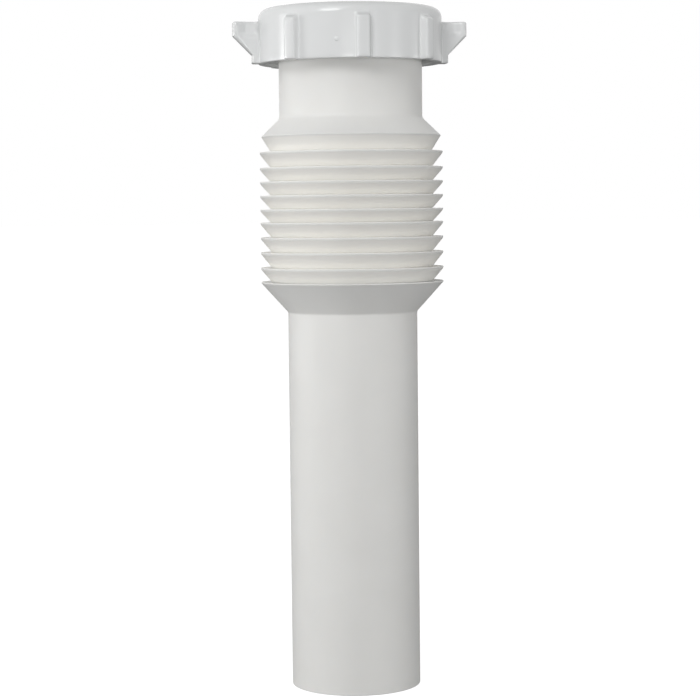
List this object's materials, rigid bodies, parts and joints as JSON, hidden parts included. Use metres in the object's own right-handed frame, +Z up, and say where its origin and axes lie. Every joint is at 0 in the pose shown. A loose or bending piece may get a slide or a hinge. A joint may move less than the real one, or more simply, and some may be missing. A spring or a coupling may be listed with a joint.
{
  "type": "basin waste tail pipe",
  "caption": "Flexible slip-joint tail pipe for a basin waste: a tube with a bellows between its neck and plain pipe, and a winged nut that clamps a sealing washer on its mouth.",
  "frame": {"origin": "middle of the pipe's cut end, on the tube's axis, where it stands", "axes": "+Z up the tube's axis towards the nut, +X through the nut's wings at rest, +Y across them"},
  "size_m": [0.069, 0.058, 0.1994],
  "materials": {
    "tube_plastic": "satin",
    "washer_plastic": "matte",
    "nut_plastic": "gloss"
  },
  "bodies": {
    "tube": {"flexible_tube": "tube_plastic"},
    "washer": {"seal_washer": "washer_plastic"},
    "nut": {"slip_nut": "nut_plastic"}
  },
  "joints": [
    {"name": "nut_lift", "type": "slide", "parent": "tube", "child": "washer", "axis": [0, 0, 1], "range_m": [0, 0.0094]},
    {"name": "nut_turn", "type": "hinge", "parent": "washer", "child": "nut", "pos_m": [0, 0, 0.19], "axis": [0, 0, 1], "range_deg": [0, 1530]}
  ],
  "couplings": [
    {"joint": "nut_lift", "follows": "nut_turn", "m_per_rad": 0.00035152}
  ]
}
